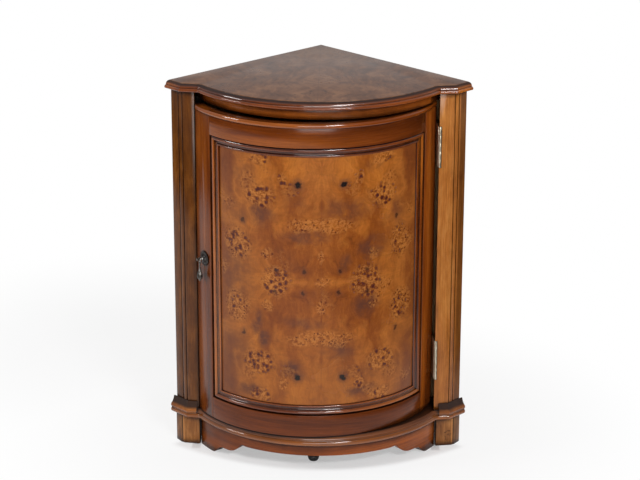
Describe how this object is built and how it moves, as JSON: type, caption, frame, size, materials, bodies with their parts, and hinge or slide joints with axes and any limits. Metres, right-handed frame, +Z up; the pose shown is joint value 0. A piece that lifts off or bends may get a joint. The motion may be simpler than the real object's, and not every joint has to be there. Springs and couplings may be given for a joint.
{
  "type": "corner cupboard",
  "caption": "Bow-fronted wooden corner cupboard with canted pilasters, a hinged door with a burr veneered panel, a shelf, a drop pull and a scalloped plinth.",
  "frame": {"origin": "middle of the bounding box's base, on the floor", "axes": "+X to the right as seen from the front, +Y towards the back corner where the two wall sides meet, +Z up; millimetres in the source, metres here"},
  "size_m": [0.6262, 0.4814, 0.794],
  "materials": {
    "walnut": "polished dark walnut",
    "walnut_light": "polished mid walnut",
    "top_veneer": "polished book-matched veneer",
    "burr_veneer": "polished burr veneer",
    "inside_wood": "plain, unpolished",
    "hinge_brass": "bright, slightly worn",
    "antique_brass": "darkened, worn bright on the high places",
    "black_plastic": "matt",
    "steel": "plain"
  },
  "bodies": {
    "carcase": {"top_board": "top_veneer", "top_moulding_left_return": "walnut", "top_moulding_left_cant": "walnut", "top_moulding_bow": "walnut", "top_moulding_right_cant": "walnut", "top_moulding_right_return": "walnut", "frieze_rail": "walnut", "latch_pilaster": "walnut_light", "hinge_pilaster": "walnut_light", "side_panel_left": "inside_wood", "side_panel_right": "inside_wood", "corner_post": "inside_wood", "bottom_board": "inside_wood", "shelf": "inside_wood", "apron": "walnut", "plinth_moulding_left_return": "walnut", "plinth_moulding_left_cant": "walnut", "plinth_moulding_bow": "walnut", "plinth_moulding_right_cant": "walnut", "plinth_moulding_right_return": "walnut", "middle_leg": "inside_wood", "middle_glide": "black_plastic", "door_stop": "inside_wood", "door_magnet": "black_plastic", "foot_block_left": "walnut_light", "shelf_cleat_left": "inside_wood", "top_block_left": "inside_wood", "foot_block_right": "walnut_light", "shelf_cleat_right": "inside_wood", "top_block_right": "inside_wood", "hinge_upper_frame_leaf": "hinge_brass", "hinge_upper_pin": "hinge_brass", "hinge_upper_frame_screw_1": "steel", "hinge_upper_frame_screw_2": "steel", "hinge_lower_frame_leaf": "hinge_brass", "hinge_lower_pin": "hinge_brass", "hinge_lower_frame_screw_1": "steel", "hinge_lower_frame_screw_2": "steel"},
    "door": {"latch_stile": "walnut", "hinge_stile": "walnut", "door_top_rail": "walnut", "door_bottom_rail": "walnut", "burr_panel": "burr_veneer", "panel_moulding_bottom": "walnut", "panel_moulding_top": "walnut", "panel_moulding_left": "walnut", "panel_moulding_right": "walnut", "door_bead": "walnut", "strike_plate": "steel", "pull_rosette": "antique_brass", "pull_post": "antique_brass", "pull_nut": "antique_brass", "hinge_upper_door_leaf": "hinge_brass", "hinge_upper_door_screw_1": "steel", "hinge_upper_door_screw_2": "steel", "hinge_lower_door_leaf": "hinge_brass", "hinge_lower_door_screw_1": "steel", "hinge_lower_door_screw_2": "steel"},
    "pull": {"pull_drop": "antique_brass"}
  },
  "joints": [
    {"name": "door_hinge", "type": "hinge", "parent": "carcase", "child": "door", "pos_m": [0.247, -0.08825, 0.4295], "axis": [0, 0, 1], "range_deg": [-6, 104]},
    {"name": "pull_swing", "type": "hinge", "parent": "door", "child": "pull", "pos_m": [-0.24229, -0.12903, 0.432], "axis": [-0.8241, -0.5664, 0], "range_deg": [-3, 75]}
  ]
}
